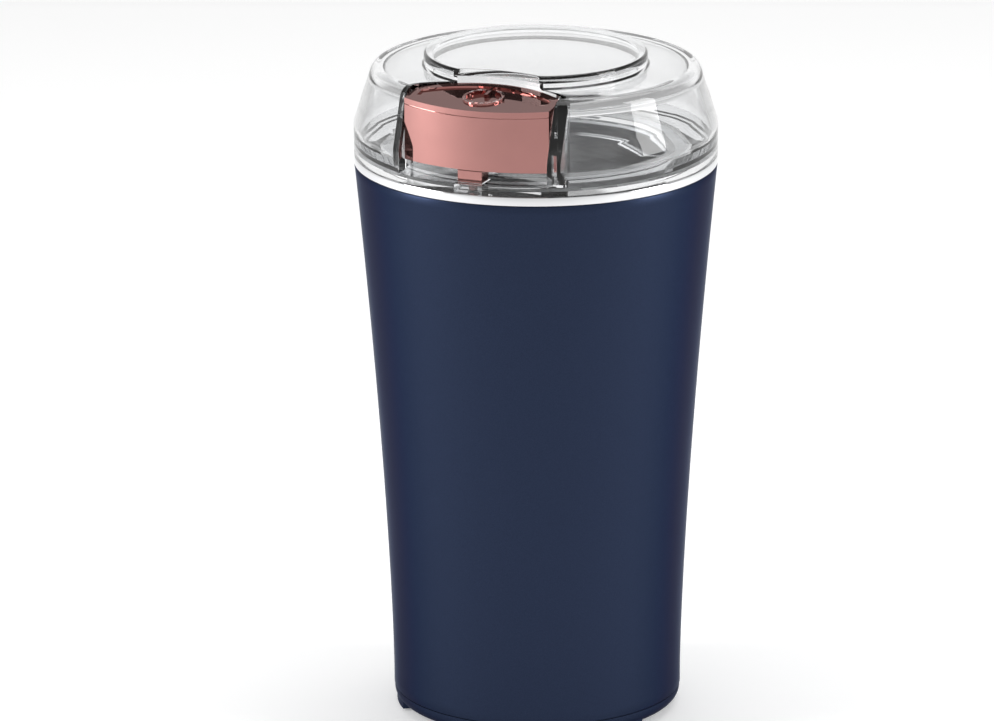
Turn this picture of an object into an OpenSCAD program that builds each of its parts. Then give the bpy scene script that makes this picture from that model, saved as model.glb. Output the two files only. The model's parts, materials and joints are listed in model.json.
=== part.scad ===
// Electric spice grinder: a tapered body with a motor and a steel grinding bowl, and a clear lid
// whose push button reaches through the rim to the safety switch.
// Millimetres. +Z is up and Z = 0 is the table under the feet. The button faces -Y.

/* [Body] */
// Radius of the body shell at its top edge
body_top_r = 47.5; // [46.5:0.25:49]
// How much the shell's radius shrinks from its top edge to its foot
body_taper = 9.4; // [8.5:0.1:9.5]
// Length of the body shell
body_h = 143.2; // [142:0.5:150]
// Wall of the body shell
body_wall = 1.2; // [1:0.1:1.3]
// Power of the curve by which the shell flares upwards
body_flare = 1.45; // [1.3:0.05:1.6]
// Height of the shell's straight foot before it flares
body_straight_h = 3; // [1:0.5:6]

/* [Base] */
// Height of the base cover's underside above the table
base_lift = 1.3; // [1:0.1:2]
// Height of the base cover's rounded rim
base_rim_h = 3.8; // [3.2:0.1:4.4]
// Radius of the rounding at the base cover's rim
base_round = 2.9; // [2:0.1:3.1]
// Thickness of the base plate
base_plate_t = 2; // [1.6:0.1:2.4]
// Width of each foot
foot_w = 13; // [12:0.5:16]
// Depth of each foot, inwards from the rim
foot_d = 9; // [8.8:0.1:10]
// Thickness of the rubber pads that stand proud of the feet
pad_proud = 0.6; // [0.4:0.1:0.8]
// Radius of each rubber pad
pad_r = 3.6; // [3.4:0.1:3.9]
// Distance from the shell's foot in to the screw pillars
pillar_inset = 5.3; // [5.1:0.1:5.7]
// Radius of the screw pillars
pillar_r = 3.3; // [3:0.1:3.5]
// Radius of the case screws' threads
case_screw_r = 1.4; // [1.2:0.1:1.6]
// Number of long air slots under the fan
vent_count = 18; // [12:2:20]
// Width of an air slot
vent_w = 1.8; // [1.2:0.1:2.2]

/* [Cord inlet] */
// Height of the cord inlet above the table
inlet_z = 15.5; // [15.5:0.5:18]
// Direction of the cord inlet, turned from the button's side
inlet_turn = -120; // [-125:1:-115]
// Radius of the cord's bore in the grommet
inlet_r = 3.1; // [2.5:0.1:3.4]
// Rubber around the cord's bore
inlet_rubber = 1.4; // [1.2:0.1:1.6]

/* [Rim and bowl] */
// Height of the bright rim
rim_h = 2.5; // [2.3:0.1:3.2]
// Overhang of the rim beyond the body shell
rim_proud = 0.1; // [0:0.05:0.3]
// Width of the rim's bright top edge
rim_edge = 1.5; // [1.2:0.1:1.8]
// Thickness of the rim's shelf under the bowl's flange
shelf_t = 1; // [0.8:0.1:1.2]
// Distance from the body's top edge in to the wall of the grinding bowl
bowl_inset = 11; // [10.9:0.1:12]
// Inner depth of the grinding bowl
bowl_depth = 48.5; // [46:0.5:50]
// Sheet thickness of the grinding bowl
bowl_t = 0.6; // [0.5:0.05:0.8]
// Radius of the bend at the bowl's floor
bowl_bend = 11; // [8:0.5:14]
// Height of the rubber seat under the bowl
seat_h = 4; // [3.5:0.5:5]

/* [Lid] */
// Wall of the clear lid
lid_wall = 2.2; // [1.8:0.1:2.4]
// Height of the lid's upright skirt
skirt_h = 8.6; // [7.5:0.1:9.5]
// Height from the lid's foot to its flat shoulder
shoulder_h = 23.7; // [23:0.1:24.6]
// Slope of the lid's side, in degrees from upright
lid_slope = 18.2; // [15:0.2:20]
// Radius of the rounded shoulder
shoulder_round = 3; // [2.5:0.1:4]
// Radius of the rounding inside the shoulder
inner_round = 3.5; // [1:0.1:4]
// Distance from the lid's rim in to the raised disc
disc_inset = 18.4; // [17.6:0.1:19.1]
// Height of the raised disc above the shoulder
disc_h = 3.4; // [2.8:0.1:4]
// Thickness of the pocket's floor under the button
deck_t = 2.5; // [2.2:0.1:2.6]
// Width of the slope inside the lid's foot
heel_w = 4.9; // [3:0.1:5.4]
// Height of the slope inside the lid's foot
heel_h = 3.7; // [2:0.1:4.4]
// Reach of the lid's lip into the bowl
lip_h = 4.3; // [3.5:0.1:5]
// Thickness of the lid's lip
lip_t = 2; // [1.6:0.1:2.2]

/* [Button] */
// Distance from the lid's rim in to the button's front face
button_inset = 2.6; // [2.4:0.1:3.1]
// Half of the button's width
button_half_w = 20; // [19:0.1:20.4]
// Depth of the button from its front face to its back edge
button_depth = 20.2; // [19.5:0.1:20.7]
// Radius of the button's bowed back
back_bow = 31.5; // [29:0.5:36]
// Radius of the button's back corners
back_corner = 5; // [4:0.5:6]
// Height of the button's lower edge above the lid's foot
button_low = 5.7; // [5.7:0.1:6.1]
// Height of the button's front face
button_face_h = 15.7; // [15:0.1:16]
// Slope of the button's top, in degrees
button_slope = 6.5; // [4:0.5:7]
// Wall of the button
button_wall = 1.6; // [1.2:0.1:1.8]
// Thickness of the button's cover plate
cover_t = 1.5; // [1.2:0.1:1.8]
// Gap between the button and its pocket
button_gap = 0.5; // [0.4:0.05:0.6]
// Travel of the button
button_travel = 3; // [2.5:0.1:3]
// Width of the button's leg
leg_w = 6.8; // [6:0.1:7.5]
// Outer radius of the raised power symbol
symbol_r = 5.4; // [4.8:0.1:5.8]
// Width of the symbol's lines
symbol_line = 0.8; // [0.7:0.1:1.1]
// Depth of the finger dish in the button's top
dish_depth = 0.5; // [0.4:0.1:0.7]
// Distance from the button's front face to the dish
dish_inset = 7.6; // [7:0.1:8.6]
// Width of the raised edge behind the dish
dish_edge = 2.4; // [1.6:0.1:2.8]

/* [Blades] */
// Gap between the blade tips and the bowl's wall
blade_gap = 5.5; // [4.5:0.5:8.5]
// Width of a blade
blade_w = 11; // [10.5:0.5:13]
// Thickness of a blade
blade_t = 1.2; // [1:0.1:1.5]
// Height to which the upper blade's tips turn up
blade_up = 4.5; // [3:0.5:5.5]

/* [Motor] */
// Radius of the motor shaft
shaft_r = 3; // [2.8:0.1:3.2]
// Share of the motor's height that its stack of sheets takes
stack_share = 0.3; // [0.28:0.01:0.31]
// Armature's radius as a share of half the stator's length
armature_share = 0.555; // [0.53:0.005:0.56]
// Air gap between armature and stator
air_gap = 0.6; // [0.4:0.05:0.8]
// Gap between the stator and the screw pillars
stator_gap = 2.5; // [2.2:0.1:3]
// Number of slots in the armature
slot_count = 12; // [10:1:14]
// Commutator's radius as a share of the armature's
commutator_share = 0.633; // [0.6:0.01:0.66]
// Gap between the cooling fan and the screw pillars
fan_gap = 5.5; // [4.5:0.5:7.5]
// Number of fan blades
fan_blades = 9; // [7:1:11]

/* [Hidden] */
$fn = 96;
clear = 0.2;          // running gap between a sliding piece and its guide
bore_gap = 0.05;      // running gap between the shaft and its bearings
seat_gap = 0.02;      // gap between two round pieces that are fixed in each other
skin = 0.01;          // how far a cutting shape passes the face that it cuts

// Colours
navy = [0.16, 0.2, 0.32];
rose = [0.78, 0.52, 0.49];
chrome = [0.8, 0.8, 0.82];
steel = [0.68, 0.69, 0.7];
clear_plastic = [0.9, 0.92, 0.94, 0.35];
black = [0.08, 0.08, 0.09];
rubber = [0.15, 0.15, 0.16];
silicone = [0.85, 0.86, 0.87];
copper = [0.72, 0.42, 0.22];
brass = [0.75, 0.62, 0.32];

// Radii, from the body's top edge inwards
body_foot_r = body_top_r - body_taper;
rim_r = body_top_r + rim_proud;
lid_r = rim_r;
disc_r = lid_r - disc_inset;
button_front = lid_r - button_inset;
button_back = button_front - button_depth;
bowl_r = body_top_r - bowl_inset;
blade_r = bowl_r - blade_gap;
pillar_at = body_foot_r - pillar_inset;
stator_half_x = pillar_at * sin(60) - pillar_r - stator_gap;
stator_half_y = pillar_at - pillar_r - stator_gap;
armature_r = stator_half_y * armature_share;
commutator_r = armature_r * commutator_share;
fan_r = pillar_at - pillar_r - fan_gap;
mount_y = stator_half_y - 2.5;                // where the motor hangs on its dampers

// Heights, from the table up
shell_z0 = base_lift + base_rim_h;
shell_z1 = shell_z0 + body_h;
rim_z1 = shell_z1 + rim_h;
plate_z1 = base_lift + base_plate_t;
flange_z0 = shell_z1 + shelf_t;
flange_z1 = flange_z0 + bowl_t;
bowl_z0 = flange_z1 - bowl_depth;             // inside of the bowl's floor
deck_z1 = bowl_z0 - bowl_t - seat_h;          // top of the deck that carries the bowl
deck_z0 = deck_z1 - 3;
damper_h = 4;
bracket_t = 3;
bracket_z1 = deck_z0 - damper_h;
bracket_z0 = bracket_z1 - bracket_t;
motor_room = bracket_z1 - plate_z1;
stack_h = motor_room * stack_share;
coil_over = 6.5;                              // how far the windings pass the stack at each end
stack_z1 = bracket_z0 - coil_over - 2;
stack_z0 = stack_z1 - stack_h;
brush_room = motor_room * 0.254;              // length of shaft between the stack and the lower bracket
lower_z1 = stack_z0 - brush_room;
lower_z0 = lower_z1 - bracket_t;
fan_z1 = lower_z0 - 4.5;
fan_h = motor_room * 0.127;
fan_z0 = fan_z1 - fan_h;
shaft_z0 = fan_z0 - 1.5;
seal_z1 = bowl_z0 + 3;                        // top of the shaft seal inside the bowl
spacer_h = 1.5;
blade_z = seal_z1 + 0.3 + spacer_h;
nut_h = 5;
shaft_z1 = blade_z + 2 * blade_t + nut_h - 1.5;

// The shell's outer radius at a height
function shell_r(z) =
    let (t = max(0, (z - shell_z0 - body_straight_h) / (body_h - body_straight_h)))
    body_foot_r + (body_top_r - body_foot_r) * pow(t, body_flare);

lid_z0 = rim_z1;
shoulder_z = lid_z0 + shoulder_h;
disc_z = shoulder_z + disc_h;
deck_top = lid_z0 + deck_t;                   // top of the pocket's floor
lip_r = bowl_r - 0.3;                         // outside of the lid's lip

base_r = body_foot_r - 0.15;                  // outside of the base cover

// Screw pillars and feet, a third of a turn apart
foot_turns = [-60, 60, 180];
foot_out = body_foot_r - 0.7;

// The carrier's tube round the bowl and its collar under the rim
bowl_out = bowl_r + bowl_t;
tube_r0 = bowl_out + 0.6;
tube_r1 = tube_r0 + 1.5;
collar_z0 = shell_z1 - 6;
collar_r = shell_r(collar_z0) - body_wall - 0.3;

// The push rod: its head and spring stand in a pocket of the collar, and its foot on the lever
rod_at = bowl_out + 1.9;
rod_r = 1.4;
head_r = 1.3;
head_top = rim_z1 - 0.3;
shoulder_r = 2.2;
shoulder_t = 1;
shoulder_top = shell_z1 - clear;
rod_spring_r = 2;
rod_spring_wire = 0.25;
rod_spring_len = button_travel + 3;
pocket_r = rod_spring_r + rod_spring_wire + 0.25;
pocket_z0 = shoulder_top - shoulder_t - rod_spring_len;
pocket_floor = 1.4;
boss_z0 = pocket_z0 - pocket_floor;
head_at = collar_r - 1 - pocket_r;
arm_z1 = boss_z0 - 0.3;
arm_z0 = arm_z1 - 2.5;

// The switch under the push rod
lever_len = 17.5;
lever_pivot_x = -8.5;
lever_hub_r = 1.2;
foot_arm = 15;                                // where the rod's foot meets the lever, from the pivot
lever_angle = asin(button_travel / foot_arm);
switch_half_w = 10;
switch_d = 6.4;
switch_h = 10;
switch_y = -body_foot_r + 4.3;
switch_z1 = bracket_z0 - 4.3;
pivot_z = switch_z1 + lever_hub_r + 0.3;
lever_t = 0.4;
lever_low = 0.8;                              // underside of the lever's blade above its pivot
foot_z = pivot_z + foot_arm * tan(lever_angle) + (lever_low + lever_t) / cos(lever_angle) + clear;

// Points on a circle round c, from the angle a to b
function arc(c, r, a, b, n = 6) =
    [for (i = [0:n]) let (t = a + (b - a) * i / n) [c[0] + r * cos(t), c[1] + r * sin(t)]];

module ring(r_out, r_in, z0, z1) {
    translate([0, 0, z0]) difference() {
        cylinder(r = r_out, h = z1 - z0);
        translate([0, 0, -1]) cylinder(r = r_in, h = z1 - z0 + 2);
    }
}

module rod(r, z0, z1) {
    translate([0, 0, z0]) cylinder(r = r, h = z1 - z0);
}

// A box from one corner to the other
module box(lo, hi) {
    translate(lo) cube(hi - lo);
}

// Its children stand at a distance from the axis, turned from the button's side
module at_turn(turn, distance) {
    rotate([0, 0, turn]) translate([0, -distance, 0]) children();
}

module at_feet() {
    for (turn = foot_turns) at_turn(turn, pillar_at) children();
}

// ---- Body ----

shell_steps = 30;

module shell_solid(inset, z0, z1) {
    rotate_extrude() polygon(concat(
        [[0, z0]],
        [for (i = [0:shell_steps]) let (z = z0 + (z1 - z0) * i / shell_steps) [shell_r(z) - inset, z]],
        [[0, z1]]
    ));
}

module inlet_hole(r) {
    rotate([0, 0, inlet_turn]) translate([0, -body_foot_r + 8, inlet_z])
        rotate([90, 0, 0]) cylinder(r = r, h = 16);
}

module body_shell() color(navy) {
    difference() {
        shell_solid(0, shell_z0, shell_z1);
        shell_solid(body_wall, shell_z0 - skin, shell_z1 + skin);
        inlet_hole(inlet_r + inlet_rubber + 0.1);
    }
}

vent_in = 8;
vent_out = body_foot_r - 17.1;

module air_slots() {
    for (i = [0:vent_count - 1]) rotate([0, 0, 360 * i / vent_count])
        box([vent_in, -vent_w / 2, base_lift - 1], [vent_out, vent_w / 2, plate_z1 + 1]);
    for (turn = [0, 120, 240], i = [-2:2]) rotate([0, 0, turn + i * 9])
        box([-vent_w / 2, -vent_out - 10, base_lift - 1], [vent_w / 2, -vent_out - 4.5, plate_z1 + 1]);
}

module foot_block() {
    intersection() {
        rod(foot_out, pad_proud, shell_z0 - 0.8);
        box([-foot_w / 2, -foot_out - 1, 0], [foot_w / 2, -foot_out + foot_d, shell_z0]);
    }
}

boss_h = 5;
screw_head_r = 2.6;
screw_head_h = 1.6;
head_z = pad_proud + 1.1;
cross_half = screw_head_r - 1;                // half the width of the cross in a screw's head

module base_cover() color(navy) {
    difference() {
        union() {
            rotate_extrude() polygon(concat(
                [[0, base_lift]],
                arc([base_r - base_round, base_lift + base_round], base_round, -90, 0, 10),
                [[base_r, shell_z0 - clear / 2], [body_foot_r - body_wall - 1.4, shell_z0 - clear / 2],
                 [body_foot_r - body_wall - 1.4, plate_z1], [0, plate_z1]]
            ));
            ring(body_foot_r - body_wall - 0.4, body_foot_r - body_wall - 1.6, plate_z1 - 0.5, shell_z0 + 2.6);
            for (turn = foot_turns) rotate([0, 0, turn]) foot_block();
            at_feet() rod(pillar_r, plate_z1 - 0.5, plate_z1 + boss_h);
        }
        air_slots();
        at_feet() {
            rod(pad_r + 0.1, 0, head_z);
            rod(screw_head_r + 0.2, 0, head_z + screw_head_h + 0.2);
            rod(case_screw_r + 0.2, 0, plate_z1 + boss_h + 1);
        }
    }
}

module foot_pads() color(rubber) at_feet() rod(pad_r, 0, head_z - 0.1);

pillar_z0 = plate_z1 + boss_h;

module case_screws() color(steel) at_feet() {
    difference() {
        rod(screw_head_r, head_z + 0.1, head_z + 0.1 + screw_head_h);
        translate([0, 0, head_z]) {
            box([-cross_half, -0.3, 0], [cross_half, 0.3, 0.9]);
            box([-0.3, -cross_half, 0], [0.3, cross_half, 0.9]);
        }
    }
    rod(case_screw_r, head_z + screw_head_h, pillar_z0 + 9);
}

grommet_face = shell_r(inlet_z + inlet_r + inlet_rubber + 1.2) + 0.05;
grommet_back = shell_r(inlet_z) - body_wall - 0.5;

module cord_grommet() color(rubber) {
    rotate([0, 0, inlet_turn]) translate([0, 0, inlet_z]) rotate([90, 0, 0]) difference() {
        union() {
            rod(inlet_r + inlet_rubber, grommet_back - 1, grommet_face + 0.5);
            rod(inlet_r + inlet_rubber + 1.2, grommet_face, grommet_face + 1.2);
            rod(inlet_r + inlet_rubber + 1, grommet_back - 1.2, grommet_back);
        }
        rod(inlet_r, grommet_back - 3, grommet_face + 3);
    }
}

// ---- Rim and bowl ----

key_w = 6;
key_in = bowl_out + 3.9;
key_out = key_in + 3;

// The hole for the push rod's head and the slot for the lid's key
module rim_holes(gap) {
    at_turn(0, head_at) rod(head_r + gap, boss_z0 - 1, flange_z1 + 1);
    box([-key_w / 2 - gap, key_in - gap, shell_z1 - 3], [key_w / 2 + gap, key_out + gap, flange_z1 + 1]);
}

module rim_ring() color(chrome) {
    difference() {
        rotate_extrude() polygon(concat(
            [[bowl_r + bowl_t + 0.4, shell_z1], [rim_r - 0.4, shell_z1], [rim_r, shell_z1 + 0.4]],
            arc([rim_r - 0.5, rim_z1 - 0.5], 0.5, 0, 90, 4),
            [[rim_r - rim_edge, rim_z1], [rim_r - rim_edge, flange_z0], [bowl_r + bowl_t + 0.4, flange_z0]]
        ));
        rim_holes(0.4);
    }
}

seal_neck_r = 7;

module grinding_bowl() color(steel) {
    difference() {
        rotate_extrude() polygon(concat(
            [[seal_neck_r + 0.05, bowl_z0 - bowl_t]],
            arc([bowl_r - bowl_bend, bowl_z0 + bowl_bend], bowl_bend + bowl_t, -90, 0, 10),
            [[bowl_out, flange_z0], [rim_r - rim_edge - clear, flange_z0],
             [rim_r - rim_edge - clear, flange_z1], [bowl_r, flange_z1]],
            arc([bowl_r - bowl_bend, bowl_z0 + bowl_bend], bowl_bend, 0, -90, 10),
            [[seal_neck_r + 0.05, bowl_z0]]
        ));
        rim_holes(0.4);
    }
}

seat_r = mount_y - 7;

module bowl_seat() color(silicone) ring(seat_r + 2, seat_r - 2, deck_z1, bowl_z0 - bowl_t);

module shaft_seal() color(rubber) {
    rotate_extrude() polygon([
        [shaft_r + bore_gap, deck_z1 + 1.5], [seal_neck_r + 2, deck_z1 + 1.5],
        [seal_neck_r + 2, bowl_z0 - bowl_t], [seal_neck_r, bowl_z0 - bowl_t], [seal_neck_r, bowl_z0],
        [seal_neck_r + 2.5, bowl_z0], [seal_neck_r + 2, bowl_z0 + 1.4], [shaft_r + 2.6, seal_z1],
        [shaft_r + bore_gap, seal_z1]
    ]);
}

// ---- Carrier: the inner frame that hangs the motor under the bowl ----

tab_y = switch_y + switch_d / 2 + 0.2;
tab_t = 2;
tab_z0 = switch_z1 - switch_h;
switch_hole_x = 4.75;
switch_hole_z = switch_z1 - 7;
switch_screw_r = 1.3;
mount_screw_r = 1.5;
damper_r = -tab_y - tab_t - mount_y - clear;

module switch_holes(r) {
    for (x = [-switch_hole_x, switch_hole_x])
        translate([x, tab_y + tab_t + 1, switch_hole_z]) rotate([90, 0, 0]) cylinder(r = r, h = switch_d + tab_t + 4);
}

module at_mounts() {
    for (y = [-mount_y, mount_y]) translate([0, y, 0]) children();
}

module bowl_carrier() color(black) {
    difference() {
        union() {
            ring(collar_r, tube_r0, collar_z0, shell_z1);
            ring(tube_r1, tube_r0, deck_z0, shell_z1 - 1);
            rod(tube_r1, deck_z0, deck_z1);
            at_feet() rod(pillar_r, pillar_z0, deck_z0 + 1);
            for (turn = [30, 90, 150, 210, 270, 330]) rotate([0, 0, turn])
                box([-1, -collar_r + 1, collar_z0 - 12], [1, -tube_r0 - 0.5, collar_z0 + 1]);
            box([-switch_half_w - 2, tab_y, tab_z0], [switch_half_w + 2, tab_y + tab_t, deck_z0 + 1]);
            intersection() {
                rod(collar_r, boss_z0, collar_z0 + 1);
                box([-pocket_r - 2, -collar_r - 1, boss_z0], [pocket_r + 2, -tube_r0, collar_z0 + 1]);
            }
        }
        at_turn(0, head_at) rod(pocket_r, pocket_z0, shell_z1 + 1);
        rod(seal_neck_r + 4, deck_z0 - 1, deck_z1 + 1);
        for (i = [0:5]) rotate([0, 0, 60 * i + 30])
            box([-3, -bowl_r + 3.5, deck_z0 - 1], [3, -bowl_r + 10.5, deck_z1 + 1]);
        at_mounts() rod(mount_screw_r + 0.1, deck_z0 - 1, deck_z1 + 1);
        at_feet() rod(case_screw_r - 0.2, pillar_z0 - 1, pillar_z0 + 9.5);
        rim_holes(clear);
        box([-4, -rod_at - rod_r - 2, tab_z0 - 1], [8, -rod_at + rod_r + 0.4, boss_z0]);
        switch_holes(switch_screw_r - 0.1);
    }
}

// ---- Motor ----

module motor_dampers() color(rubber) at_mounts() ring(damper_r, mount_screw_r + 0.1, bracket_z1, deck_z0);

mount_head_r = 2 * mount_screw_r;
mount_head_h = 1.8;
mount_nut_h = 2.4;

module motor_screws() color(steel) at_mounts() {
    rod(mount_screw_r, bracket_z0 - mount_nut_h, deck_z1);
    rod(mount_head_r, deck_z1, deck_z1 + mount_head_h);
    rod(mount_head_r - 0.2, bracket_z0 - mount_nut_h, bracket_z0);
}

bearing_r = 7;
bridge_half = 8.6;
post_t = stator_half_y * 0.148;               // thickness of the bridges' posts
post_y = stator_half_y - post_t / 2;
screw_x = 6.2;
stator_screw_r = 1.5;
stator_hole_r = stator_screw_r + 0.1;
stator_head_h = 1.5;

// A bridge over the stator's end, with the seat for a bearing
module bridge(z0, z1, leg_z0, leg_z1) {
    difference() {
        union() {
            box([-bridge_half, -stator_half_y, z0], [bridge_half, stator_half_y, z1]);
            rod(bearing_r + 2.5, z0 - 1, z1 + 1);
            for (s = [-1, 1])
                box([-bridge_half, s * post_y - post_t / 2, leg_z0], [bridge_half, s * post_y + post_t / 2, leg_z1]);
        }
        rod(bearing_r, z0 - 2, z1 + 2);
    }
}

module upper_bracket() color(steel) {
    difference() {
        bridge(bracket_z0, bracket_z1, stack_z1, bracket_z0 + skin);
        at_mounts() rod(mount_screw_r + 0.1, bracket_z0 - 1, bracket_z1 + 1);
        at_mounts() translate([0, 0, stack_z1]) box([-3.4, -3, 0], [3.4, 3, bracket_z0 - stack_z1]);
        at_stator_screws() rod(stator_hole_r, stack_z1 - 1, bracket_z1 + 1);
    }
}

module bearing(z0, z1) {
    difference() {
        rod(bearing_r - seat_gap, z0, z1);
        rod(shaft_r + bore_gap, z0 - 1, z1 + 1);
    }
}

module upper_bearing() color(brass) bearing(bracket_z0 - 1, bracket_z1 + 1);
module lower_bearing() color(brass) bearing(lower_z0 - 1, lower_z1 + 1);

module at_stator_screws() {
    for (x = [-screw_x, screw_x], y = [-post_y, post_y]) translate([x, y, 0]) children();
}

holder_z = lower_z1 + brush_room * 0.41;                       // height of the brushes' centre
brush_half = 3;
holder_in = commutator_r + 1.6;
holder_out = stator_half_x + 2.4;
arm_half = 5;                                 // half of the width of the arms that carry the brushes

module lower_bracket() color(black) {
    difference() {
        union() {
            bridge(lower_z0, lower_z1, lower_z0 + skin, stack_z0);
            for (s = [0, 180]) rotate([0, 0, s]) {
                box([bridge_half - 1, -arm_half, lower_z0], [holder_out, arm_half, lower_z1]);
                box([holder_in + 1, -arm_half, lower_z1 - 0.5], [holder_out - 1, arm_half, holder_z - brush_half - 1]);
            }
        }
        rod(bearing_r, lower_z0 - 2, lower_z1 + 2);
        at_stator_screws() rod(stator_hole_r, lower_z0 - 1, stack_z0 + 1);
    }
}

window_x = stator_half_x - 4;
window_y = stator_half_y - post_t - 1;
neck_half = stator_half_x * 0.44;
bore_r = armature_r + air_gap;
shoe_t = stator_half_y * 0.12;
shoe_half = stator_half_x * 0.7;
shoe_low = bore_r * 0.4;
corner_cut = 3;

module stator_core() color([0.45, 0.45, 0.47]) {
    translate([0, 0, stack_z0]) difference() {
        union() {
            difference() {
                box([-stator_half_x, -stator_half_y, 0], [stator_half_x, stator_half_y, stack_h]);
                box([-window_x, -window_y, -1], [window_x, window_y, stack_h + 1]);
            }
            for (s = [0, 180]) rotate([0, 0, s]) box([-neck_half, bore_r - 1, 0], [neck_half, window_y + 1, stack_h]);
            intersection() {
                cylinder(r = bore_r + shoe_t, h = stack_h);
                for (s = [0, 180]) rotate([0, 0, s]) box([-shoe_half, shoe_low, 0], [shoe_half, window_y, stack_h]);
            }
        }
        translate([0, 0, -1]) cylinder(r = bore_r, h = stack_h + 2);
        at_stator_screws() rod(stator_hole_r, -1, stack_h + 1);
        for (x = [-1, 1], y = [-1, 1]) translate([x * stator_half_x, y * stator_half_y, -1])
            rotate([0, 0, 45]) box([-corner_cut, -corner_cut, 0], [corner_cut, corner_cut, stack_h + 2]);
    }
}

coil_in_y = bore_r + shoe_t + 0.2;
coil_out_y = window_y - 0.3;

module field_coils() color(copper) for (s = [0, 180]) rotate([0, 0, s]) {
    difference() {
        box([-window_x + 0.4, coil_in_y, stack_z0 - coil_over], [window_x - 0.4, coil_out_y, stack_z1 + coil_over]);
        box([-neck_half - 0.3, coil_in_y - 1, stack_z0 - 0.3], [neck_half + 0.3, coil_out_y + 1, stack_z1 + 0.3]);
        for (x = [-1, 1], z = [stack_z0 - coil_over, stack_z1 + coil_over])
            translate([x * (window_x - 0.4), 0, z]) rotate([0, 45, 0]) box([-3, coil_in_y - 1, -3], [3, coil_out_y + 1, 3]);
    }
}

module stator_screws() color(steel) at_stator_screws() {
    rod(stator_screw_r, lower_z0 - 0.5, bracket_z1);
    rod(stator_screw_r + 1.1, lower_z0 - stator_head_h, lower_z0);
}

module brush_holders() color(brass) for (s = [0, 180]) rotate([0, 0, s]) difference() {
    box([holder_in, -brush_half - 0.9, holder_z - brush_half - 1], [holder_out, brush_half + 0.9, holder_z + brush_half + 1]);
    box([holder_in - 1, -brush_half - 0.1, holder_z - brush_half - 0.1], [holder_out - 1, brush_half + 0.1, holder_z + brush_half + 0.1]);
}

brush_back = holder_out - 6;

module carbon_brushes() color(black) for (s = [0, 180]) rotate([0, 0, s]) difference() {
    box([commutator_r - 2, -brush_half, holder_z - brush_half], [brush_back, brush_half, holder_z + brush_half]);
    rod(commutator_r + 0.1, holder_z - 10, holder_z + 10);
}

// A coil of wire: n turns of radius r from z0 to z1, as one tube whose ends run level
function coil_point(r, z0, z1, turns, t) = [r * cos(360 * turns * t), r * sin(360 * turns * t), z0 + (z1 - z0) * t];

// The least gap between turns, measured between points half a turn or more apart on the wire's middle
function coil_gap(c, rings = 8) =
    let (n = round(c[4] * rings), p = [for (i = [0:n]) coil_point(c[0], c[2], c[3], c[4], i / n)])
    min([for (i = [0:n - rings / 2], j = [i + rings / 2:n]) norm(p[i] - p[j])]) - 2 * c[1];

// c holds the radius, the wire's radius, the heights of both ends and the number of turns
module coil(c, rings = 8, sides = 6) {
    r = c[0];
    wire = c[1];
    z0 = c[2];
    z1 = c[3];
    turns = c[4];
    n = round(turns * rings);
    rows = [for (i = [0:n])
        let (a = 360 * turns * i / n, p = coil_point(r, z0, z1, turns, i / n))
        [for (k = [0:sides - 1]) let (b = 360 * k / sides)
            [p[0] + wire * cos(b) * cos(a), p[1] + wire * cos(b) * sin(a), p[2] + wire * sin(b)]]];
    points = [for (row = rows, p = row) p];
    walls = [for (i = [0:n - 1], k = [0:sides - 1])
        let (a = i * sides + k, b = i * sides + (k + 1) % sides)
        each [[a, a + sides, b], [b, a + sides, b + sides]]];
    ends = [for (k = [1:sides - 2]) each [[0, k, k + 1], [n * sides, n * sides + k + 1, n * sides + k]]];
    polyhedron(points, concat(walls, ends), convexity = 8);
}

brush_coil = [2, 0.3, brush_back + 0.35, holder_out - 1.35, 4];
echo(least_gap_brush_springs = coil_gap(brush_coil));

module brush_springs() color(steel) for (s = [0, 180]) rotate([0, 0, s])
    translate([0, 0, holder_z]) rotate([0, 90, 0]) coil(brush_coil);

module motor_shaft() color(steel) difference() {
    union() {
        rod(shaft_r, shaft_z0, blade_z);
        rod(shaft_r - 0.5, blade_z - 0.5, shaft_z1);
    }
    ring(shaft_r + 1, shaft_r - 0.25, fan_z0 - 1, fan_z0 - 0.5);      // groove below the fan
}

slot_at = armature_r * 0.694;
slot_r = slot_at * sin(180 / slot_count) - 0.8;
end_turn_h = 6;

module armature_core() color([0.5, 0.5, 0.52]) difference() {
    rod(armature_r, stack_z0, stack_z1);
    rod(shaft_r + seat_gap, stack_z0 - 1, stack_z1 + 1);
    for (i = [0:slot_count - 1]) rotate([0, 0, 360 * i / slot_count]) {
        translate([slot_at, 0, 0]) rod(slot_r, stack_z0 - 1, stack_z1 + 1);
        box([slot_at, -0.7, stack_z0 - 1], [armature_r + 1, 0.7, stack_z1 + 1]);
    }
}

// End turns above and below the core, joined by the wires that fill its slots
module armature_windings() color(copper) {
    for (i = [0:slot_count - 1]) rotate([0, 0, 360 * i / slot_count])
        translate([slot_at, 0, 0]) rod(slot_r - 0.1, stack_z0 - 1, stack_z1 + 1);
    for (side = [0, 1]) translate([0, 0, side ? stack_z1 : stack_z0]) mirror([0, 0, 1 - side])
        rotate_extrude() polygon([
            [shaft_r + seat_gap, 0.1], [armature_r - 2, 0.1], [armature_r - 1.4, 2],
            [armature_r - 2.4, end_turn_h - 1.4], [commutator_r, end_turn_h], [shaft_r + seat_gap, end_turn_h]
        ]);
}

bars = 24;
commutator_z0 = lower_z1 + brush_room * 0.18;
commutator_z1 = stack_z0 - end_turn_h - clear;

module commutator() color(copper) difference() {
    union() {
        rod(commutator_r, commutator_z0, commutator_z1);
        rod(commutator_r + 1.2, commutator_z1 - 1.6, commutator_z1);
    }
    rod(shaft_r + seat_gap, commutator_z0 - 1, commutator_z1 + 1);
    for (i = [0:bars - 1]) rotate([0, 0, 360 * (i + 0.5) / bars])
        box([commutator_r - 0.8, -0.25, commutator_z0 - 1], [commutator_r + 3, 0.25, commutator_z1 + 1]);
}

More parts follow.
